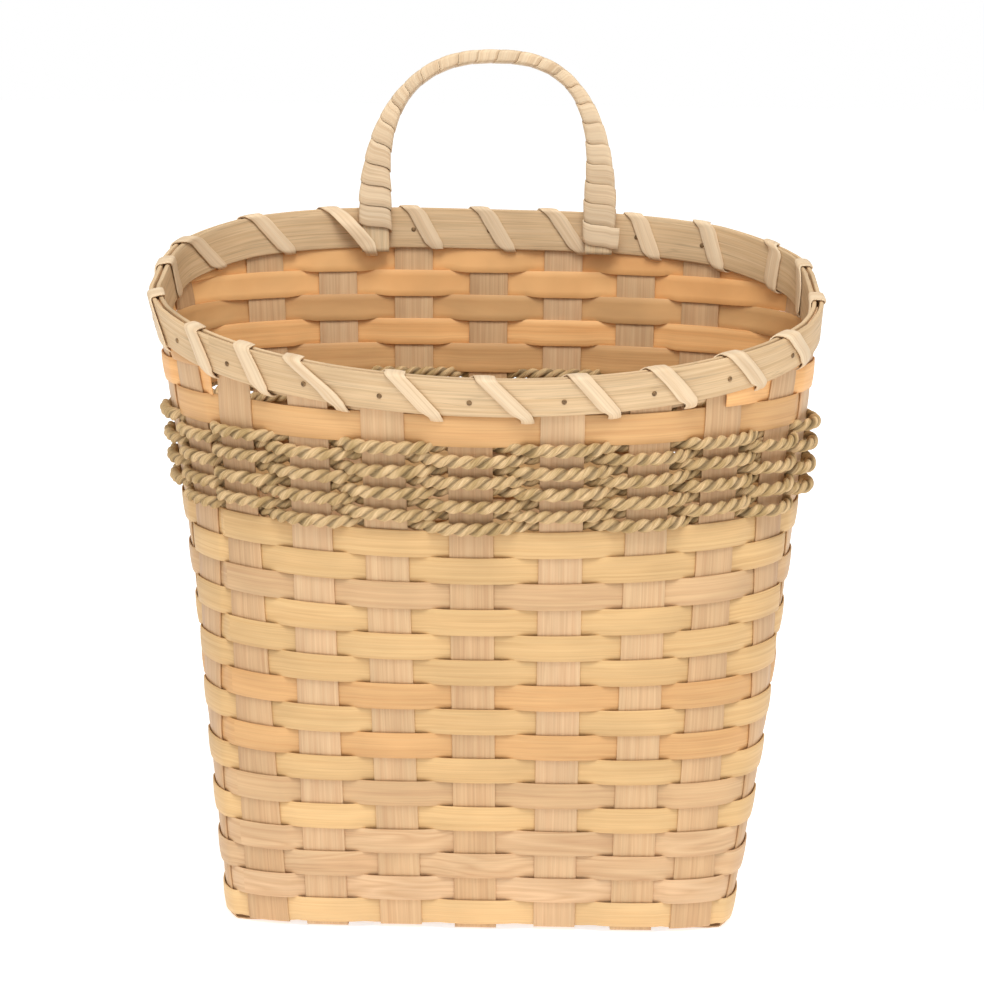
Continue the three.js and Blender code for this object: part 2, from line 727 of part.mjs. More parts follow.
// Nail heads, level with the middle of the band
const nail = (name, leg, side) => {
  const v = 2 * leg + 0.5;
  const low = side > 0 ? rimLow(v) : rimLowIn(v);
  const f = wallFrame(v, (low + rimTop(v)) / 2 - nailDrop);
  const out = f.n.clone().multiplyScalar(side);
  const geometry = new THREE.CylinderGeometry(nailHead / 2, nailHead / 2, nailHeadHeight, 8);
  const mesh = new THREE.Mesh(geometry, new THREE.MeshStandardMaterial({
    color: nailColour, roughness: 0.5, metalness: 0.6,
  }));
  mesh.name = name;
  mesh.quaternion.setFromUnitVectors(Y, out);
  mesh.position.copy(along(f.p, out, bandOut + gap + nailHeadHeight / 2));
  group.add(mesh);
};
const sideName = (leg, outside) => {
  if (leg.kind === 'cross') return leg.side > 0 ? 'right' : 'left';
  return outside ? 'front' : 'back';
};
const nailed = [
  ...[-3, -2, -1, 0, 1, 2, 3].map((at) => ({ kind: 'long', at, side: -1, outside: 1 })),
  ...[-1, 1].map((side) => ({ kind: 'cross', at: -2, side, outside: 1 })),
  ...[-1, 0, 2, 3].map((at) => ({ kind: 'long', at, side: 1, outside: 0 })),
];
for (const { kind, at, side, outside } of nailed) {
  const m = legs.findIndex((l) => l.kind === kind && l.at === at && l.side === side);
  const place = sideName(legs[m], outside);
  const name = kind === 'long' ? `nail_${place}_${at + longSteps + 1}` : `nail_${place}`;
  nail(name, m, outside ? 1 : -1);
}

// Stand the part on the floor with its origin under the middle of its box
const box = new THREE.Box3().setFromObject(group);
const middle = box.getCenter(new THREE.Vector3());
group.position.set(-middle.x, -middle.y, -box.min.z);
const size = box.getSize(new THREE.Vector3());
console.log('size', size.x.toFixed(1), size.y.toFixed(1), size.z.toFixed(1));

export default group;
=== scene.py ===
import math
import random

import bmesh
import bpy
from mathutils import Matrix, Vector


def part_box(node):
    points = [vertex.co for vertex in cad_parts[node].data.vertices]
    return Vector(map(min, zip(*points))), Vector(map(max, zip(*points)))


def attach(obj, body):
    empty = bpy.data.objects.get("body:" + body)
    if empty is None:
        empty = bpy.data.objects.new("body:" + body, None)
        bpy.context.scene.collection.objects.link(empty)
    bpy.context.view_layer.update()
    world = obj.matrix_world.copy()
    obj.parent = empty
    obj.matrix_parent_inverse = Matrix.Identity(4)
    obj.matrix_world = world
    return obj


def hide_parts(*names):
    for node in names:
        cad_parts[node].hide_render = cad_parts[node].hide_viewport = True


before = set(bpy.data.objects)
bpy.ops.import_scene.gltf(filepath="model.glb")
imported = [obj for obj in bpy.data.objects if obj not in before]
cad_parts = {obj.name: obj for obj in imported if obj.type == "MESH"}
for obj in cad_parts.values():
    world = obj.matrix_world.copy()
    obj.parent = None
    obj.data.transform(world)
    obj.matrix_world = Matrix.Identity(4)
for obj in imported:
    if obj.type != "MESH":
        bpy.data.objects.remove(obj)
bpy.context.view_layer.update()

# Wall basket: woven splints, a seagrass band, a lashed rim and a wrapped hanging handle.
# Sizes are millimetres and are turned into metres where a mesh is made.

metre = 0.001

# Sizes of the woven wall, as in the solid part
wall = {
    "baseHalfWidth": 116,
    "baseHalfDepth": 60,
    "baseSquareness": 8,
    "mouthHalfWidth": 150.5,
    "mouthHalfDepth": 97,
    "mouthRoundFront": 1.9,
    "mouthRoundBack": 3,
    "mouthHeight": 287.5,
    "squareFade": 3,
    "belly": 2,
    "lopsided": 3,
}
stakes = {
    "width": 19,
    "thickness": 0.7,
    "edge": 0.6,
    "toBaseEnd": 17,
    "toMouthEnd": 43.7,
    "spread": 0.08,
    "crossToBaseEdge": 15,
    "crossPairBase": 33,
    "crossPairMouth": 31,
    "crossStepFront": 23,
    "crossStepBack": 25.5,
    "bend": 2.2,
    "topRecess": 1.5,
    "wave": 0.2,
    "bevel": 0.14,
    "legSteps": 76,
    "baseSteps": 40,
    "baseMargin": 7,
    "driftBase": [3, 0, 0.4, -0.8, 0, 1.6, -1.2],
    "driftFront": [-3, -0.5, -4.5, -4.7, -3.2, -1.5, -0.9],
    "driftBack": [-4.6, -2, -0.5, -1, -2, -2, -2.5],
}

longSteps = 3
crossOrder = [-2, -1, 1, 2]

# Each sheet has five columns of points, at these shares of its width
columns = [0, 0.25, 0.5, 0.75, 1]


def lerp(a, b, f):
    return a + (b - a) * f


def smooth(f):
    c = min(1, max(0, f))
    return c * c * (3 - 2 * c)


# A curve from a to b that sets out along ta and arrives along tb
def curve(a, ta, b, tb, f):
    f2 = f * f
    f3 = f2 * f
    return a * (2 * f3 - 3 * f2 + 1) + ta * (f3 - 2 * f2 + f) + b * (3 * f2 - 2 * f3) + tb * (f3 - f2)


def halfWidth(z, side):
    share = z / wall["mouthHeight"]
    swell = math.sin(math.pi * min(1, max(0, share)))
    straight = lerp(wall["baseHalfWidth"], wall["mouthHalfWidth"], share)
    return straight + (wall["belly"] + math.copysign(wall["lopsided"], side)) * swell


def halfDepth(z):
    return lerp(wall["baseHalfDepth"], wall["mouthHalfDepth"], z / wall["mouthHeight"])


def squareness(z, back):
    roundness = wall["mouthRoundBack"] if back else wall["mouthRoundFront"]
    left = max(0, 1 - z / wall["mouthHeight"])
    return roundness + (wall["baseSquareness"] - roundness) * left ** wall["squareFade"]


def rest(share, n):
    return max(1e-6, 1 - min(1, abs(share)) ** n) ** (1 / n)


def longX(i, z, drift):
    u = i / longSteps
    spread = u * (1 + stakes["spread"] * (1 - u * u))
    base = (wall["baseHalfWidth"] - stakes["toBaseEnd"]) * spread + stakes["driftBase"][i + longSteps]
    mouth = (wall["mouthHalfWidth"] - stakes["toMouthEnd"]) * spread + drift[i + longSteps]
    return lerp(base, mouth, z / wall["mouthHeight"])


def crossY(j, z):
    step = stakes["crossStepFront"] if j < 0 else stakes["crossStepBack"]
    share = z / wall["mouthHeight"]
    inner = lerp(stakes["crossPairBase"], stakes["crossPairMouth"], share) / 2
    baseEdge = wall["baseHalfDepth"] - stakes["crossToBaseEdge"]
    outer = lerp(baseEdge, stakes["crossPairMouth"] / 2 + step, share)
    return math.copysign(outer if abs(j) == 2 else inner, j)


# The 22 upright legs of the stakes, counted round from the front left
longOrder = list(range(-longSteps, longSteps + 1))
legs = [("long", i, -1) for i in longOrder] + [("cross", j, 1) for j in crossOrder]
legs += [("long", i, 1) for i in reversed(longOrder)]
legs += [("cross", j, -1) for j in reversed(crossOrder)]
corners = 2 * len(legs)


def legPoint(leg, z):
    kind, at, side = leg
    b = halfDepth(z)
    if kind == "long":
        x = longX(at, z, stakes["driftBack"] if side > 0 else stakes["driftFront"])
        a = halfWidth(z, x)
        return Vector((x, side * b * rest(x / a, squareness(z, side > 0)), z))
    y = crossY(at, z)
    a = halfWidth(z, side)
    return Vector((side * a * rest(y / b, squareness(z, y > 0)), y, z))


def legOut(p, z):
    n = squareness(z, p.y > 0)
    a = halfWidth(z, p.x)
    b = halfDepth(z)
    x = math.copysign(abs(p.x / a) ** (n - 1) / a, p.x)
    y = math.copysign(abs(p.y / b) ** (n - 1) / b, p.y)
    return Vector((x, y, 0)).normalized()


# A ring holds two corners for each leg, with the wall's direction at each corner
def makeRing(z):
    points = []
    for leg in legs:
        p = legPoint(leg, z)
        t = Vector((0, 0, 1)).cross(legOut(p, z))
        reach = stakes["width"] / 2 + stakes["edge"]
        points += [p - t * reach, p + t * reach]
    chords = [(points[(k + 1) % corners] - points[k]).normalized() for k in range(corners)]
    return points, [(chords[k - 1] + chords[k]).normalized() for k in range(corners)]


ringStep = 4.0
ringLevels = 83
rings = [makeRing(i * ringStep) for i in range(ringLevels)]


def ringPoint(ring, v):
    points, turns = ring
    k = math.floor(v)
    f = v - k
    a = points[k % corners]
    b = points[(k + 1) % corners]
    reach = (b - a).length
    return curve(a, turns[k % corners] * reach, b, turns[(k + 1) % corners] * reach, f)


# The wall's middle surface: v counts corners round the wall, z is the height
def surface(v, z):
    level = min(len(rings) - 2, max(0, math.floor(z / ringStep)))
    low = ringPoint(rings[level], v)
    return low.lerp(ringPoint(rings[level + 1], v), z / ringStep - level)


def wallFrame(v, z):
    p = surface(v, z)
    t = (surface(v + 0.04, z) - surface(v - 0.04, z)).normalized()
    u = (surface(v, z + 1) - surface(v, z - 1)).normalized()
    return p, t, u, t.cross(u).normalized()


def wallPoint(v, z, offset):
    p, t, u, n = wallFrame(v, z)
    return p + n * offset


rim = {
    "slope": 0.258,
    "tilt": -0.012,
    "height": 16.5,
    "innerHeight": 19,
    "thickness": 2.0,
    "gap": 0.3,
    "bevel": 0.7,
    "wobble": 0.25,
    "stepsPerCorner": 6,
}
bandMiddle = stakes["thickness"] / 2 + rim["gap"] + rim["thickness"] / 2
bandOut = bandMiddle + rim["thickness"] / 2


def rimHeight(v, drop):
    z = wall["mouthHeight"]
    for i in range(5):
        p = surface(v, z)
        z = wall["mouthHeight"] + rim["slope"] * p.y + rim["tilt"] * p.x - drop
    return z


def rimTop(v):
    return rimHeight(v, 0)


def rimLow(v):
    return rimHeight(v, rim["height"])


def rimLowIn(v):
    return rimHeight(v, rim["innerHeight"])


# The solid part stands with the middle of its box over the origin
half = stakes["width"] / 2
shift = Vector(
    (
        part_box("stake_long_4")[1].x / metre - longX(0, 0, stakes["driftFront"]) - half,
        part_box("stake_cross_2")[0].y / metre - crossY(-1, 0) + half,
        0,
    )
)


def toFrame(p):
    return (p + shift) * metre


# A gentle wave for hand-made unevenness, the same on every run
def makeWobble(seed, size):
    pick = random.Random(seed)
    waves = []
    for i in range(5):
        waves.append((pick.choice([1, 2, 3, 5, 7, 9]), pick.uniform(0, 6.28), pick.uniform(0.4, 1)))
    total = sum(w[2] for w in waves)
    return lambda share: size * sum(a * math.sin(6.2832 * n * share + p) for n, p, a in waves) / total


# Materials
def linear(red, green, blue):
    return tuple((c / 255) ** 2.2 for c in (red, green, blue)) + (1,)


def startMaterial(name):
    material = bpy.data.materials.new(name)
    material.use_nodes = True
    tree = material.node_tree
    return material, tree, tree.nodes["Principled BSDF"]


def addNode(tree, kind, **values):
    node = tree.nodes.new(kind)
    for key, value in values.items():
        if key in node.inputs:
            node.inputs[key].default_value = value
        else:
            setattr(node, key, value)
    return node


# Scales are waves to a millimetre, along a strip and across it
def stretched(tree, along, across, seed):
    place = addNode(tree, "ShaderNodeUVMap", uv_map="UVMap")
    scale = addNode(tree, "ShaderNodeMapping")
    scale.inputs["Scale"].default_value = (along / metre, across / metre, 1)
    scale.inputs["Location"].default_value = (seed, seed * 0.37, 0)
    tree.links.new(place.outputs["UV"], scale.inputs["Vector"])
    return scale.outputs["Vector"]


def noiseOn(tree, vector, detail, distortion=0.0, roughness=0.5):
    node = addNode(tree, "ShaderNodeTexNoise", Scale=1, Detail=detail)
    node.inputs["Distortion"].default_value = distortion
    node.inputs["Roughness"].default_value = roughness
    tree.links.new(vector, node.inputs["Vector"])
    return node.outputs["Fac"]


def rampOn(tree, value, stops):
    node = addNode(tree, "ShaderNodeValToRGB")
    node.color_ramp.elements[0].position = stops[0][0]
    node.color_ramp.elements[0].color = stops[0][1]
    node.color_ramp.elements[1].position = stops[-1][0]
    node.color_ramp.elements[1].color = stops[-1][1]
    for position, colour in stops[1:-1]:
        node.color_ramp.elements.new(position).color = colour
    tree.links.new(value, node.inputs["Fac"])
    return node.outputs["Color"]


def multiplied(tree, first, second):
    node = addNode(tree, "ShaderNodeMix", data_type="RGBA", blend_type="MULTIPLY")
    node.inputs[0].default_value = 1
    tree.links.new(first, node.inputs[6])
    tree.links.new(second, node.inputs[7])
    return node.outputs[2]


def mathOn(tree, operation, value, number, added=None):
    node = addNode(tree, "ShaderNodeMath", operation=operation)
    tree.links.new(value, node.inputs[0])
    node.inputs[1].default_value = number
    if added is not None:
        tree.links.new(added, node.inputs[2])
    return node.outputs[0]


def grey(value):
    return (value, value, value, 1)


def bumpFrom(tree, shader, height, strength, distance):
    node = addNode(tree, "ShaderNodeBump", Strength=strength, Distance=distance * metre)
    tree.links.new(height, node.inputs["Height"])
    tree.links.new(node.outputs["Normal"], shader.inputs["Normal"])


# Figure is the broad contrast along the grain and fibre the fine one
grains = {
    "stake": {"figure": 0.5, "fibre": 0.07, "patch": 0.12, "relief": 0.15, "roughness": 0.5},
    "weaver": {"figure": 0.6, "fibre": 0.06, "patch": 0.12, "relief": 0.15, "roughness": 0.5},
    "knotty": {"figure": 0.6, "fibre": 0.06, "patch": 0.12, "relief": 0.15, "roughness": 0.5, "rings": 11},
    # split sets how dark the painted groove shade on the bands is
    "band": {"figure": 0.5, "fibre": 0.14, "patch": 0.12, "relief": 0.35, "roughness": 0.55, "split": 0.18},
    "lashing": {"figure": 0.5, "fibre": 0.1, "patch": 0.08, "relief": 0.35, "roughness": 0.5},
    "core": {"figure": 0.5, "fibre": 0.22, "patch": 0.12, "relief": 0.35, "roughness": 0.5},
    "wrap": {"figure": 0.4, "fibre": 0.08, "patch": 0.12, "relief": 0, "roughness": 0.55},
}


def woodMaterial(name, colours, seed, kind):
    material, tree, shader = startMaterial(name)
    light, dark = colours
    look = grains[kind]
    grain = noiseOn(tree, stretched(tree, 0.010, 0.55, seed), 5, 1.1)
    lines = noiseOn(tree, stretched(tree, 0.03, 1.7, seed + 7), 3, 0.3, 0.6)
    broad = noiseOn(tree, stretched(tree, 0.022, 0.05, seed + 3), 2)
    if "rings" in look:
        hills = noiseOn(tree, stretched(tree, 0.014, 0.11, seed + 5), 1, 0.6)
        wave = mathOn(tree, "PINGPONG", mathOn(tree, "MULTIPLY", hills, look["rings"]), 1)
        grain = mathOn(tree, "MULTIPLY_ADD", wave, 0.35, mathOn(tree, "MULTIPLY", grain, 0.65))
    body = rampOn(tree, grain, [(0.5 - 0.5 * look["figure"], dark), (0.5 + 0.3 * look["figure"], light)])
    fine = rampOn(tree, lines, [(0.36, grey(1 - look["fibre"])), (0.56, grey(1))])
    drift = rampOn(tree, broad, [(0.35, grey(1 - look["patch"])), (0.62, grey(1))])
    colour = multiplied(tree, multiplied(tree, body, fine), drift)
    # Painted shade: thin dark lines along the band stand in for the shade inside grooves in the cane; the
    # grooves themselves are not modelled
    if "split" in look:
        grooveNoise = noiseOn(tree, stretched(tree, 0.006, 0.2, seed + 11), 2)
        paintedGrooveShade = rampOn(tree, grooveNoise, [(0.49, grey(1)), (0.5, grey(1 - look["split"])), (0.51, grey(1))])
        colour = multiplied(tree, colour, paintedGrooveShade)
    tree.links.new(colour, shader.inputs["Base Color"])
    shader.inputs["Roughness"].default_value = look["roughness"]
    shader.inputs["Specular IOR Level"].default_value = 0.35
    bumpFrom(tree, shader, lines, look["relief"], 0.12)
    return material


def seagrassMaterial(name, seed):
    material, tree, shader = startMaterial(name)
    fibres = noiseOn(tree, stretched(tree, 0.12, 2.4, seed), 4, 0.4, 0.7)
    broad = noiseOn(tree, stretched(tree, 0.12, 0.05, seed + 5), 3)
    stops = [(0.3, linear(160, 132, 96)), (0.5, linear(214, 184, 142)), (0.7, linear(236, 212, 174))]
    body = rampOn(tree, fibres, stops)
    drift = rampOn(tree, broad, [(0.35, linear(208, 200, 176)), (0.62, linear(255, 250, 240))])
    # Painted shade: the side of each ply that faces the other ply is darkened, standing in for the shade in
    # the crevice between the two plies
    place = addNode(tree, "ShaderNodeUVMap", uv_map="UVMap")
    split = addNode(tree, "ShaderNodeSeparateXYZ")
    tree.links.new(place.outputs["UV"], split.inputs["Vector"])
    halfRound = math.pi * rope["strand"] * 0.95 * metre
    depth = mathOn(tree, "DIVIDE", mathOn(tree, "PINGPONG", split.outputs["Y"], halfRound), halfRound)
    paintedCreviceShade = rampOn(tree, depth, [(0.44, grey(1)), (0.6, grey(0.6)), (0.85, grey(0.4))])
    colour = multiplied(tree, multiplied(tree, body, drift), paintedCreviceShade)
    tree.links.new(colour, shader.inputs["Base Color"])
    shader.inputs["Roughness"].default_value = 0.75
    shader.inputs["Specular IOR Level"].default_value = 0.2
    bumpFrom(tree, shader, fibres, 0.6, 0.3)
    return material


def nailMaterial():
    material, tree, shader = startMaterial("nail_steel")
    place = addNode(tree, "ShaderNodeTexCoord")
    spots = addNode(tree, "ShaderNodeTexNoise", Scale=900, Detail=3)
    tree.links.new(place.outputs["Object"], spots.inputs["Vector"])
    colour = rampOn(tree, spots.outputs["Fac"], [(0.35, linear(96, 74, 50)), (0.65, linear(150, 118, 80))])
    tree.links.new(colour, shader.inputs["Base Color"])
    shader.inputs["Metallic"].default_value = 0.4
    shader.inputs["Roughness"].default_value = 0.5
    return material


# Pieces
def objectFrom(name, shape):
    mesh = bpy.data.meshes.new(name)
    shape.to_mesh(mesh)
    shape.free()
    return bpy.data.objects.new(name, mesh)


def finishPiece(piece, material, node):
    piece.data.materials.append(material)
    for face in piece.data.polygons:
        face.use_smooth = True
    bpy.context.scene.collection.objects.link(piece)
    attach(piece, "root")
    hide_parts(node)


# A sheet from rows of points; its UV map holds real lengths along and across it
def makeSheet(name, rows, closed):
    along = len(rows) - 1
    across = len(rows[0]) - 1
    shape = bmesh.new()
    grid = bmesh.ops.create_grid(shape, x_segments=along, y_segments=across, size=0.5)
    index = {}
    for vertex in grid["verts"]:
        i = round((vertex.co.x + 0.5) * along)
        j = round((vertex.co.y + 0.5) * across)
        index[vertex] = (i, j)
        vertex.co = toFrame(rows[i][j])
    middle = across // 2
    lengths = [0.0]
    for i in range(along):
        lengths.append(lengths[-1] + (rows[i + 1][middle] - rows[i][middle]).length * metre)
    widths = [0.0]
    for j in range(across):
        widths.append(widths[-1] + (rows[0][j + 1] - rows[0][j]).length * metre)
    layer = shape.loops.layers.uv.new("UVMap")
    for face in shape.faces:
        for loop in face.loops:
            i, j = index[loop.vert]
            loop[layer].uv = (lengths[i], widths[j])
    if closed:
        bmesh.ops.remove_doubles(shape, verts=shape.verts, dist=1e-6)
    return objectFrom(name, shape)


def thicken(piece, thickness, bevel, segments=1):
    solid = piece.modifiers.new("thickness", "SOLIDIFY")
    solid.thickness = thickness * metre
    solid.offset = 0
    solid.use_even_offset = True
    edge = piece.modifiers.new("edges", "BEVEL")
    edge.width = bevel * metre
    edge.segments = segments
    edge.limit_method = "ANGLE"
    edge.angle_limit = math.radians(50)


print("weaving the stakes")

weave = {
    "height": 12.15,
    "pitch": 12.0,
    "tuck": 2.6,
    "thickness": 0.7,
    "lowerRows": 16,
    "start": 3.1,
    "shortRows": 4,
    "offset": 0.9,
    "bulge": 0.3,
    "crown": 0.3,
    "wobble": 0.3,
    "behind": 0.9,
    "bevel": 0.14,
    "upperReach": 1.4,
    "topShortReach": 3,
    "stepsPerCorner": 7,
}
rope = {
    "pitch": 5.0,
    "rows": 8,
    "strand": 1.95,
    "twist": 1.1,
    "flat": 0.86,
    "lay": 13.5,
    "offset": 2.75,
    "bulge": 0.8,
    "endBulge": 3.0,
    "endFrom": 14,
    "endTo": 22,
    "stray": 0.95,
    "swell": 0.16,
    "pace": 1.6,
    "steps": 1500,
    "sides": 9,
}
ropeStart = weave["start"] + weave["lowerRows"] * weave["pitch"]
upperStart = ropeStart + rope["rows"] * rope["pitch"]


# Which row is level with a height, as a number that is whole at each row's middle
def rowAt(z):
    if z < ropeStart:
        return (z - weave["start"]) / weave["pitch"] + 0.5
    if z < upperStart:
        return weave["lowerRows"] + (z - ropeStart) / rope["pitch"] + 0.5
    return weave["lowerRows"] + rope["rows"] + (z - upperStart) / weave["pitch"] + 0.5


def legRows(m, level):
    start = level + stakes["bend"]
    top = rimTop(2 * m + 0.5) - stakes["topRecess"]
    edge = stakes["width"] / 2 / (stakes["width"] + 2 * stakes["edge"])
    places = [2 * m + 0.5 + edge * (2 * share - 1) for share in columns]
    lean = [rimTop(v) - rimTop(2 * m + 0.5) for v in places]
    steps = stakes["legSteps"]
    rows = []
    for i in range(steps + 1):
        z = lerp(start, top, i / steps)
        wave = -stakes["wave"] * math.cos(math.pi * (rowAt(z) + m)) * smooth((z - start) / 6)
        tilt = smooth((z - top + 12) / 12)
        rows.append([wallPoint(v, z + d * tilt, wave) for v, d in zip(places, lean)])
    out = legOut(legPoint(legs[m], start), start)
    bend = stakes["bend"]
    for i in range(1, 5):
        angle = i / 4 * math.pi / 2
        move = out * -bend * (1 - math.cos(angle)) + Vector((0, 0, -bend * math.sin(angle)))
        rows.insert(0, [p + move for p in rows[i - 1]])
    return rows


strand = stakes["thickness"] + rim["gap"]
baseMiddle = stakes["thickness"] / 2 + strand / 2


def baseLevel(i, row):
    return baseMiddle + (strand / 2 if (i + row) % 2 == 0 else -strand / 2)


def levelAt(place, crossings):
    if place <= crossings[0][0]:
        return crossings[0][1]
    for (a, low), (b, high) in zip(crossings, crossings[1:]):
        if place <= b:
            free = b - a - stakes["width"]
            return lerp(low, high, smooth((place - a - stakes["width"] / 2) / max(free, 1)))
    return crossings[-1][1]


def stakeRows(first, second, axis, crossings):
    down = list(reversed(legRows(first, crossings[0][1])))
    up = [list(reversed(row)) for row in legRows(second, crossings[-1][1])]
    start = down[-1][2]
    end = up[0][2]
    side = Vector((1, 0, 0)) if axis == 1 else Vector((0, -1, 0))
    middle = []
    steps = stakes["baseSteps"]
    margin = stakes["baseMargin"] / (end - start).length
    for i in range(steps + 1):
        p = start.lerp(end, lerp(margin, 1 - margin, i / steps))
        p.z = levelAt(p[axis], crossings)
        middle.append([p + side * (half * (2 * share - 1)) for share in columns])
    return down + middle + up


stakeLooks = [
    (linear(218, 182, 138), linear(202, 158, 116)),
    (linear(214, 176, 132), linear(196, 152, 110)),
    (linear(221, 185, 142), linear(206, 162, 121)),
]


def makeStake(name, node, rows, seed):
    piece = makeSheet(name, rows, False)
    thicken(piece, stakes["thickness"], stakes["bevel"])
    look = woodMaterial(name + "_wood", stakeLooks[seed % len(stakeLooks)], 11 + seed * 3, "stake")
    finishPiece(piece, look, node)


for i in longOrder:
    first = legs.index(("long", i, -1))
    second = legs.index(("long", i, 1))
    crossings = [(crossY(j, 0), baseLevel(i + longSteps, row)) for row, j in enumerate(crossOrder)]
    number = i + longSteps + 1
    rows = stakeRows(first, second, 1, crossings)
    makeStake(f"long_stake_{number}", f"stake_long_{number}", rows, number)
for row, j in enumerate(crossOrder):
    first = legs.index(("cross", j, -1))
    second = legs.index(("cross", j, 1))
    crossings = []
    for i in longOrder:
        level = 2 * baseMiddle - baseLevel(i + longSteps, row)
        crossings.append((longX(i, 0, stakes["driftFront"]), level))
    rows = stakeRows(first, second, 0, crossings)
    makeStake(f"cross_stake_{row + 1}", f"stake_cross_{row + 1}", rows, row + 10)

print("weaving the rows")

# Splint colours, named for what they look like
palette = {
    "golden": (linear(223, 184, 129), linear(206, 162, 108)),
    "pale": (linear(230, 190, 134), linear(216, 172, 116)),
    "straw": (linear(232, 194, 140), linear(220, 176, 122)),
    "peach": (linear(216, 178, 132), linear(198, 154, 112)),
    "orange": (linear(222, 174, 118), linear(206, 152, 98)),
    "amber": (linear(248, 192, 128), linear(234, 170, 106)),
    "pink": (linear(222, 184, 140), linear(202, 158, 116)),
    "rose": (linear(226, 188, 146), linear(206, 164, 122)),
}
rowLooks = [
    "straw", "rose", "pink", "pink", "pale", "peach", "golden", "orange",
    "golden", "orange", "golden", "golden", "golden", "peach", "golden", "golden",
]
upperLooks = ["orange", "amber", "orange", "amber", "amber"]


def sideOf(m, row):
    return 1 if (m % len(legs) + row) % 2 == 0 else -1


def crossing(v, row, reach, bulge):
    m = math.floor(v / 2)
    f = v - 2 * m
    side = sideOf(m, row)
    if f <= 1:
        return side * (reach + bulge * (1 - (2 * f - 1) ** 2))
    return side * reach * lerp(1, -1, smooth(f - 1))


# Near the rim a row leans in between the bands
def rowRows(row, low, fromV, toV, extra):
    lowWobble = makeWobble(row, weave["wobble"])
    topWobble = makeWobble(row + 1, weave["wobble"])
    steps = round((toV - fromV) * weave["stepsPerCorner"])
    rows = []
    for i in range(steps + 1):
        v = lerp(fromV, toV, i / steps)
        share = v / corners
        offset = crossing(v, row, weave["offset"], weave["bulge"])
        bottom = low + lowWobble(share) - weave["behind"] * min(1, max(0, -offset / weave["offset"]))
        edge = lerp(rimLowIn(v), rimLow(v), smooth(0.5 + offset / weave["offset"] / 2))
        top = min(low + topWobble(share) + weave["height"] + extra, edge + weave["tuck"])
        bottom = min(bottom, top - 0.3)
        line = []
        for across in columns:
            z = lerp(bottom, top, across)
            crown = weave["crown"] * (1 - (2 * across - 1) ** 2)
            tucked = smooth((z - edge + 0.4) / 2.2)
            line.append(wallPoint(v, z, lerp(offset + crown, 0.2 * offset, tucked)))
        rows.append(line)
    return rows


def makeRow(name, node, row, low, lookName, fromV=0, toV=corners, extra=0):
    closed = toV - fromV >= corners
    piece = makeSheet(name, rowRows(row, low, fromV, toV, extra), closed)
    thicken(piece, weave["thickness"], weave["bevel"])
    kind = "knotty" if lookName in ("pink", "rose") else "weaver"
    look = woodMaterial(name + "_wood", palette[lookName], 40 + row * 5, kind)
    finishPiece(piece, look, node)


for r in range(1, weave["lowerRows"] + 1):
    low = weave["start"] + (r - 1) * weave["pitch"]
    makeRow(f"row_{r:02d}", f"weaver_{r:02d}", r, low, rowLooks[r - 1])
fullUpper = weave["lowerRows"] + rope["rows"] + 1
reach = weave["upperReach"]
node = f"weaver_{weave['lowerRows'] + 1}"
makeRow("row_upper", node, fullUpper, upperStart - reach, upperLooks[0], extra=reach)

# The short rows run where the sloping rim is high enough for them
shortFrom = 12.5
for r in range(1, weave["shortRows"] + 1):
    low = upperStart + r * weave["pitch"]
    places = [v / 4 for v in range(round(4 * shortFrom), 4 * corners)]
    kept = [v for v in places if rimLow(v) + weave["tuck"] > low + 0.5]
    extra = weave["topShortReach"] if r == weave["shortRows"] else 0
    node = f"short_weaver_{r}"
    makeRow(f"row_short_{r}", node, fullUpper + r, low, upperLooks[r], kept[0], kept[-1], extra)

print("twisting the seagrass")


def strandRows(row, z, phase):
    wobble = makeWobble(100 + row, rope["stray"])
    swell = makeWobble(200 + row * 2 + phase, rope["swell"])
    pace = makeWobble(300 + row, rope["pace"])
    steps = rope["steps"]
    centres = []
    for i in range(steps + 1):
        v = corners * i / steps
        share = i / steps
        atEnd = rope["endFrom"] < v < rope["endTo"] and sideOf(math.floor(v / 2), row) > 0
        offset = crossing(v, row, rope["offset"], rope["endBulge"] if atEnd else rope["bulge"])
        centres.append((wallFrame(v, z + wobble(share)), offset, share))
    run = 0.0
    turns = []
    last = None
    for (p, t, u, n), offset, share in centres:
        place = p + n * offset
        if last is not None:
            run += (place - last).length
        last = place
        turns.append(run)
    whole = round(run / rope["lay"])
    rows = []
    for ((p, t, u, n), offset, share), length in zip(centres, turns):
        angle = phase * math.pi - pace(share) - 2 * math.pi * whole * length / run
        through = n * rope["flat"]
        centre = p + n * offset + (u * math.cos(angle) + through * math.sin(angle)) * rope["twist"]
        radius = rope["strand"] * (1 + swell(share))
        line = []
        for s in range(rope["sides"] + 1):
            turn = 2 * math.pi * s / rope["sides"] + angle
            line.append(centre + (u * math.cos(turn) + through * math.sin(turn)) * radius)
        rows.append(line)
    return rows


def makeRope(number):
    row = weave["lowerRows"] + number
    z = ropeStart + (number - 0.5) * rope["pitch"]
    joined = bmesh.new()
    for phase in (0, 1):
        ply = makeSheet(f"strand_{number}_{phase}", strandRows(row, z, phase), True)
        joined.from_mesh(ply.data)
        bpy.data.objects.remove(ply)
    look = seagrassMaterial(f"seagrass_{number}_fibre", number * 9)
    finishPiece(objectFrom(f"seagrass_{number}", joined), look, f"seagrass_rope_{number}")


for number in range(1, rope["rows"] + 1):
    makeRope(number)

print("bending the rim")


def bandRows(side):
    lowEdge = rimLow if side > 0 else rimLowIn
    steps = corners * rim["stepsPerCorner"]
    wobble = makeWobble(400 + side, rim["wobble"])
    rows = []
    for i in range(steps + 1):
        v = corners * i / steps
        low = lowEdge(v) + wobble(i / steps)
        top = rimTop(v) + wobble(i / steps + 0.3)
        rows.append([wallPoint(v, lerp(low, top, share), side * bandMiddle) for share in columns])
    return rows


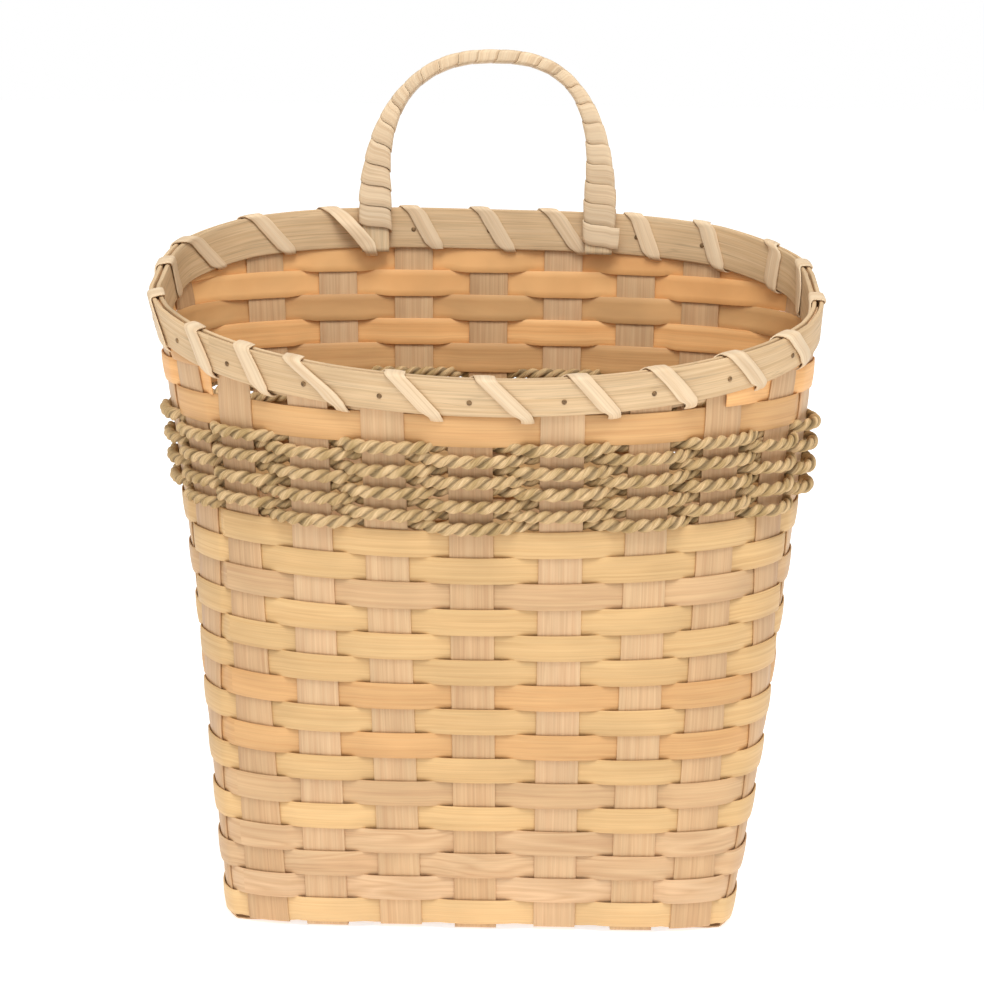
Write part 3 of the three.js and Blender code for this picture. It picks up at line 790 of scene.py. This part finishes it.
def makeBand(name, node, side, seed):
    piece = makeSheet(name, bandRows(side), True)
    thicken(piece, rim["thickness"], rim["bevel"], 3)
    look = woodMaterial(name + "_wood", (linear(222, 190, 148), linear(204, 168, 124)), seed, "band")
    finishPiece(piece, look, node)


makeBand("band_outer", "rim_band_outer", 1, 501)
makeBand("band_inner", "rim_band_inner", -1, 523)

lashing = {
    "width": 8.8,
    "pinch": 0.64,
    "thickness": 0.8,
    "shownThickness": 0.64,
    "crown": 0.25,
    "puff": 0.12,
    "corner": 0.3,
    "footGap": 0.7,
    "topAt": 0.62,
    "lowAt": 1.5,
    "nextAt": 2.5,
    "topDrift": [0.3, -0.4, 0.2, 0.2, 0.2, 0, 0, -0.3, 0.9, 1.8, 0.75]
    + [-0.05, 0, 0.3, 0.15, 0, 0.1, 0.2, -0.55, -0.5, -0.2, 0.6],
    "lowDrift": [0, 0, 0.3, 0.25, 0.15, 0, 0, -0.2, 2, 1.65, 0.45]
    + [0.5, 0.5, 0.45, 0.35, 0.1, 0.3, -0.1, -0.4, 0, 0, 0.4],
}
handle = {
    "footWidth": 13.5,
    "footThickness": 2.4,
    "bowHeight": 4,
    "bowDepth": 6,
    "footDrop": 2,
    "rise": 69.6,
    "shift": -2,
    "bowShift": 3,
    "lift": 4,
    "round": 2.5,
    "taperStart": 2,
    "taperLength": 52,
    "sectionPower": 4.5,
    "footSteps": 10,
    "bowSteps": 60,
    "coreSteps": 140,
    "coreSides": 24,
}
wrap = {
    "turns": 24,
    "thickness": 0.8,
    "shownThickness": 0.6,
    "clearance": 0.5,
    "crown": 0.12,
    "seam": 0.07,
    "toFoot": 3,
    "tail": 4,
    "tailSteps": 6,
    "shingle": 0.28,
    "bowShingle": 0.07,
    "uneven": 1.3,
    "loose": 0.5,
    "startTurn": 0.4,
    "startAngle": math.pi * 0.3,
    "stepsPerTurn": 40,
}
lashOffset = bandOut + rim["gap"] + lashing["thickness"] / 2
lashRise = rim["gap"] + lashing["thickness"] / 2
handleLeg = legs.index(("long", -1, 1))
footV = 2 * handleLeg + 1.5
behind = bandOut + rim["gap"] + lashing["thickness"]
coreOffset = behind + rim["gap"] + wrap["clearance"] + wrap["thickness"] + handle["footThickness"] / 2


# A stop on the lashing's way: its middle, the direction across it and the way it faces
def lashStop(v, z, offset, rise, faceN, faceU, width=1):
    p, t, u, n = wallFrame(v, z)
    slope = (surface(v + 0.02, rimTop(v + 0.02)) - surface(v - 0.02, rimTop(v - 0.02))).normalized()
    return p + n * offset + u * rise, slope * width, (n * faceN + u * faceU).normalized()


# One turn goes over the rim, down outside, under the bands and up inside
def lashTurn(m):
    top = 2 * m + lashing["topAt"] + lashing["topDrift"][m]
    bottom = 2 * m + lashing["lowAt"] + lashing["lowDrift"][m]
    following = 2 * m + lashing["nextAt"] + lashing["topDrift"][(m + 1) % len(legs)]
    overFoot = m == handleLeg
    inner = lashOffset
    low = lashRise
    if overFoot:
        inner = coreOffset + handle["footThickness"] / 2 + wrap["clearance"] + wrap["thickness"]
        inner += lashing["footGap"]
        low = lashRise + handle["footDrop"]
    pinch = lashing["pinch"]
    puff = lashing["puff"]
    corner = lashing["corner"]
    out = lashOffset - corner
    up = lashRise - corner
    downShares = (0.12, 0.35, 0.65, 0.88)
    stops = [
        lashStop(top, rimTop(top), 0, lashRise + 0.1, 0, 1),
        lashStop(top + 0.03, rimTop(top + 0.03), out, up, 0.7, 0.7),
    ]
    for share in downShares:
        v = lerp(top + 0.05, bottom - 0.08, share)
        z = lerp(rimTop(v), rimLow(v), share)
        stops.append(lashStop(v, z, lashOffset + puff, 0, 1, 0))
    stops += [
        lashStop(bottom - 0.04, rimLow(bottom), out, -up, 0.7, -0.7, pinch),
        lashStop(bottom, rimLowIn(bottom), 0, -low, 0, -1, pinch),
        lashStop(bottom + 0.04, rimLowIn(bottom), corner - inner, corner - low, -0.7, -0.7, pinch),
    ]
    for share in downShares:
        v = lerp(bottom + 0.08, following - 0.02, share)
        z = lerp(rimLowIn(v), rimTop(v), share)
        depth = lerp(inner, lashOffset, smooth((share - 0.5) * 2)) if overFoot else lashOffset
        stops.append(lashStop(v, z, -depth - puff, 0, -1, 0))
    stops.append(lashStop(following + 0.08, rimTop(following + 0.08), -out, up, -0.7, 0.7))
    return stops


def blendStops(stops, parts):
    rows = []
    for i in range(len(stops) - 1):
        a = stops[max(0, i - 1)]
        b = stops[i]
        c = stops[i + 1]
        d = stops[min(len(stops) - 1, i + 2)]
        way = c[0] - b[0]
        ta = (way.normalized() + (b[0] - a[0]).normalized()).normalized() * way.length
        tb = (way.normalized() + (d[0] - c[0]).normalized()).normalized() * way.length
        for k in range(parts):
            f = k / parts
            face = b[2].lerp(c[2], f).normalized()
            rows.append((curve(b[0], ta, c[0], tb, f), b[1].lerp(c[1], f), face))
    rows.append(stops[-1])
    return rows


def makeLashing():
    stops = []
    begin = legs.index(("long", 0, 1))
    for i in range(len(legs) + 1):
        turn = lashTurn((begin + i) % len(legs))
        if i == 0:
            turn = turn[8:]
        elif i == len(legs):
            turn = turn[:6]
        stops += turn
    rows = []
    for p, side, face in blendStops(stops, 3):
        line = []
        for share in columns:
            at = 2 * share - 1
            crown = lashing["crown"] * (1 - at * at)
            line.append(p + side * (at * lashing["width"] / 2) + face * crown)
        rows.append(line)
    piece = makeSheet("lashing", rows, False)
    thicken(piece, lashing["shownThickness"], 0.2, 2)
    look = woodMaterial("lashing_cane", (linear(234, 208, 172), linear(218, 184, 144)), 611, "lashing")
    finishPiece(piece, look, "rim_lashing")


makeLashing()

print("bending the handle")

brim = wallFrame(footV, rimTop(footV))
foot = wallFrame(footV, rimLowIn(footV))
footPoint = foot[0] - foot[3] * coreOffset - foot[2] * handle["footDrop"]
brimPoint = brim[0] - brim[3] * coreOffset
springZ = brimPoint.z + handle["lift"]
lean = (brimPoint.y - footPoint.y) / (brimPoint.z - footPoint.z)


def bowX(z):
    return handle["shift"] + handle["bowShift"] * max(0, (z - springZ) / handle["rise"]) ** 2


def handlePath():
    left = [footPoint.lerp(brimPoint, i / handle["footSteps"]) for i in range(handle["footSteps"] + 1)]
    steps = handle["bowSteps"]
    power = 2 / handle["round"]
    reach = brimPoint.x - handle["shift"]
    for i in range(1, steps + 1):
        angle = i / steps * math.pi / 2
        z = springZ + handle["rise"] * math.sin(angle) ** power
        x = bowX(z) + (reach * math.cos(angle) ** power if i < steps else 0)
        left.append(Vector((x, brimPoint.y + lean * (z - brimPoint.z), z)))
    return left + [Vector((2 * bowX(p.z) - p.x, p.y, p.z)) for p in reversed(left[:-1])]


path = handlePath()
reached = [0.0]
for a, b in zip(path, path[1:]):
    reached.append(reached[-1] + (b - a).length)
handleLength = reached[-1]


def handleFrame(length):
    length = min(handleLength - 0.01, max(0.01, length))
    i = max(k for k in range(len(path) - 1) if reached[k] <= length)
    f = (length - reached[i]) / (reached[i + 1] - reached[i])
    p = path[i].lerp(path[i + 1], f)
    before = path[max(0, i - 1)]
    after = path[min(len(path) - 1, i + 2)]
    d = (after - before).normalized()
    front = Vector((0, -1, lean)).normalized()
    onBand = -foot[3]
    if length > handleLength / 2:
        onBand = Vector((-onBand.x, onBand.y, onBand.z))
    up = p.z - springZ
    face = onBand.lerp(front, smooth(up / handle["taperLength"]))
    n = (face - d * face.dot(d)).normalized()
    w = n.cross(d).normalized()
    taper = min(1, max(0, (up - handle["taperStart"]) / handle["taperLength"]))
    wide = lerp(handle["footWidth"], handle["bowHeight"], taper) / 2
    deep = lerp(handle["footThickness"], handle["bowDepth"], taper) / 2
    return p, w, n, wide, deep


def roundedPoint(f, angle, lift):
    p, w, n, wide, deep = f
    c = math.cos(angle)
    s = math.sin(angle)
    power = 2 / handle["sectionPower"]
    across = math.copysign(abs(c) ** power, c) * (wide + lift)
    through = math.copysign(abs(s) ** power, s) * (deep + lift)
    return p + w * across + n * through


def makeCore():
    rows = []
    steps = handle["coreSteps"]
    sides = handle["coreSides"]
    for i in range(steps + 1):
        f = handleFrame(handleLength * i / steps)
        rows.append([roundedPoint(f, 2 * math.pi * k / sides, 0) for k in range(sides + 1)])
    piece = makeSheet("handle_bow", rows, False)
    shape = bmesh.new()
    shape.from_mesh(piece.data)
    bmesh.ops.remove_doubles(shape, verts=shape.verts, dist=1e-6)
    bmesh.ops.holes_fill(shape, edges=[edge for edge in shape.edges if edge.is_boundary])
    bmesh.ops.recalc_face_normals(shape, faces=shape.faces)
    shape.to_mesh(piece.data)
    shape.free()
    look = woodMaterial("handle_wood", (linear(232, 204, 164), linear(212, 178, 134)), 701, "core")
    finishPiece(piece, look, "handle_core")


def makeWrap():
    turns = wrap["turns"]
    pitch = (handleLength - 2 * wrap["toFoot"]) / (turns + 1)
    around = wrap["stepsPerTurn"]
    uneven = makeWobble(801, wrap["uneven"])
    loose = makeWobble(802, wrap["loose"])
    rows = []
    for i in range(int(around * wrap["startTurn"]), turns * around + 1):
        angle = wrap["startAngle"] - 2 * math.pi * i / around
        turn = i / around
        edges = []
        for t in (turn - 0.5, turn + 0.5):
            edges.append(wrap["toFoot"] + (t + 0.5) * pitch + uneven(t / turns))
        bow = smooth(1.4 * math.sin(math.pi * min(1, turn / turns)) - 0.4)
        step = lerp(wrap["shingle"], wrap["bowShingle"], bow) * (1 + loose(turn / turns))
        line = []
        for share in columns:
            lift = wrap["clearance"] + wrap["thickness"] / 2 + step * (1 - 2 * share)
            lift += wrap["crown"] * (1 - (2 * share - 1) ** 2)
            f = handleFrame(lerp(edges[0] + wrap["seam"], edges[1] - wrap["seam"], share))
            line.append(roundedPoint(f, angle, lift))
        rows.append(line)
    out = handleFrame(handleLength)[1]
    parts = wrap["tailSteps"]
    rows += [[p + out * (wrap["tail"] * k / parts) for p in rows[-1]] for k in range(1, parts + 1)]
    piece = makeSheet("handle_binding", rows, False)
    thicken(piece, wrap["shownThickness"], 0.15)
    look = woodMaterial("handle_cane", (linear(234, 208, 172), linear(214, 182, 144)), 733, "wrap")
    finishPiece(piece, look, "handle_wrap")


makeCore()
makeWrap()

print("driving the nails")

nails = {"radius": 1.15, "height": 0.5, "shown": 0.8, "stand": 0.15}
nailLook = nailMaterial()


def makeNail(node):
    low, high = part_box(node)
    place = (low + high) / 2 / metre - shift
    m = min(range(len(legs)), key=lambda k: (surface(2 * k + 0.5, place.z) - place).length)
    p, t, u, n = wallFrame(2 * m + 0.5, place.z)
    side = 1 if (place - p).dot(n) > 0 else -1
    shape = bmesh.new()
    bmesh.ops.create_uvsphere(shape, u_segments=20, v_segments=12, radius=1)
    flat = Matrix.Diagonal((nails["radius"], nails["radius"], nails["height"] * nails["shown"], 1))
    turn = (n * side).to_track_quat("Z", "Y").to_matrix().to_4x4()
    head = p + n * side * (bandOut + nails["stand"])
    bmesh.ops.transform(shape, verts=shape.verts, matrix=turn @ flat)
    for vertex in shape.verts:
        vertex.co = toFrame(head + vertex.co)
    finishPiece(objectFrom(node + "_head", shape), nailLook, node)


for node in sorted(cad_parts):
    if node.startswith("nail_"):
        makeNail(node)

print("setting the stage")

camera = {
    "focal": 2217.7,
    "picture": 984,
    "sensor": 36,
    "distance": 1035.4,
    "elevation": 13.40,
    "yaw": -1.19,
    "roll": 0.567,
    "aim": Vector((3.60, 0, 192.48)),
}


def placeCamera():
    yaw = math.radians(camera["yaw"])
    elevation = math.radians(camera["elevation"])
    roll = math.radians(camera["roll"])
    flat = Vector((math.sin(yaw), math.cos(yaw), 0)) * math.cos(elevation)
    forward = flat + Vector((0, 0, -math.sin(elevation)))
    right = Vector((math.cos(yaw), -math.sin(yaw), 0))
    up = right.cross(forward)
    side = right * math.cos(roll) + up * math.sin(roll)
    top = up * math.cos(roll) - right * math.sin(roll)
    place = toFrame(camera["aim"] - forward * camera["distance"])
    lens = bpy.data.cameras.new("camera")
    lens.sensor_width = camera["sensor"]
    lens.lens = camera["focal"] / camera["picture"] * camera["sensor"]
    viewer = bpy.data.objects.new("camera", lens)
    turn = Matrix((side, top, -forward)).transposed().to_4x4()
    viewer.matrix_world = Matrix.Translation(place) @ turn
    bpy.context.scene.collection.objects.link(viewer)
    bpy.context.scene.camera = viewer


def addLight(name, place, aim, size, power):
    data = bpy.data.lights.new(name, "AREA")
    data.shape = "DISK"
    data.size = size
    data.energy = power
    lamp = bpy.data.objects.new(name, data)
    lamp.location = place
    lamp.rotation_euler = (Vector(aim) - Vector(place)).to_track_quat("-Z", "Y").to_euler()
    bpy.context.scene.collection.objects.link(lamp)


# The camera sees the stage brighter than its light on the basket, so the background stays white
def cameraMix(tree, seen, cast):
    ray = addNode(tree, "ShaderNodeLightPath")
    strength = addNode(tree, "ShaderNodeMix", data_type="FLOAT")
    strength.inputs[2].default_value = cast
    strength.inputs[3].default_value = seen
    tree.links.new(ray.outputs["Is Camera Ray"], strength.inputs[0])
    return strength.outputs[0]


def makeFloor():
    shape = bmesh.new()
    bmesh.ops.create_grid(shape, x_segments=1, y_segments=1, size=6)
    for vertex in shape.verts:
        vertex.co.z = -0.0005
    floor = objectFrom("floor", shape)
    material, tree, shader = startMaterial("floor_white")
    shader.inputs["Base Color"].default_value = grey(0.9)
    shader.inputs["Roughness"].default_value = 1
    shader.inputs["Specular IOR Level"].default_value = 0
    shader.inputs["Emission Color"].default_value = grey(1)
    tree.links.new(cameraMix(tree, 0.62, 0.45), shader.inputs["Emission Strength"])
    floor.data.materials.append(material)
    bpy.context.scene.collection.objects.link(floor)


def makeWorld():
    world = bpy.data.worlds.new("studio")
    world.use_nodes = True
    tree = world.node_tree
    back = tree.nodes["Background"]
    tree.links.new(cameraMix(tree, 1.0, 0.6), back.inputs["Strength"])
    back.inputs["Color"].default_value = grey(1)
    bpy.context.scene.world = world


placeCamera()
makeFloor()
makeWorld()
addLight("key", (-0.9, -1.6, 1.7), (0, 0, 0.2), 1.2, 3.5)
addLight("fill", (1.5, -1.3, 0.9), (0, 0, 0.2), 1.4, 2)
addLight("top", (0.1, -0.9, 1.9), (0, 0.05, 0.2), 1.0, 23)

bpy.context.scene.view_settings.view_transform = "Standard"
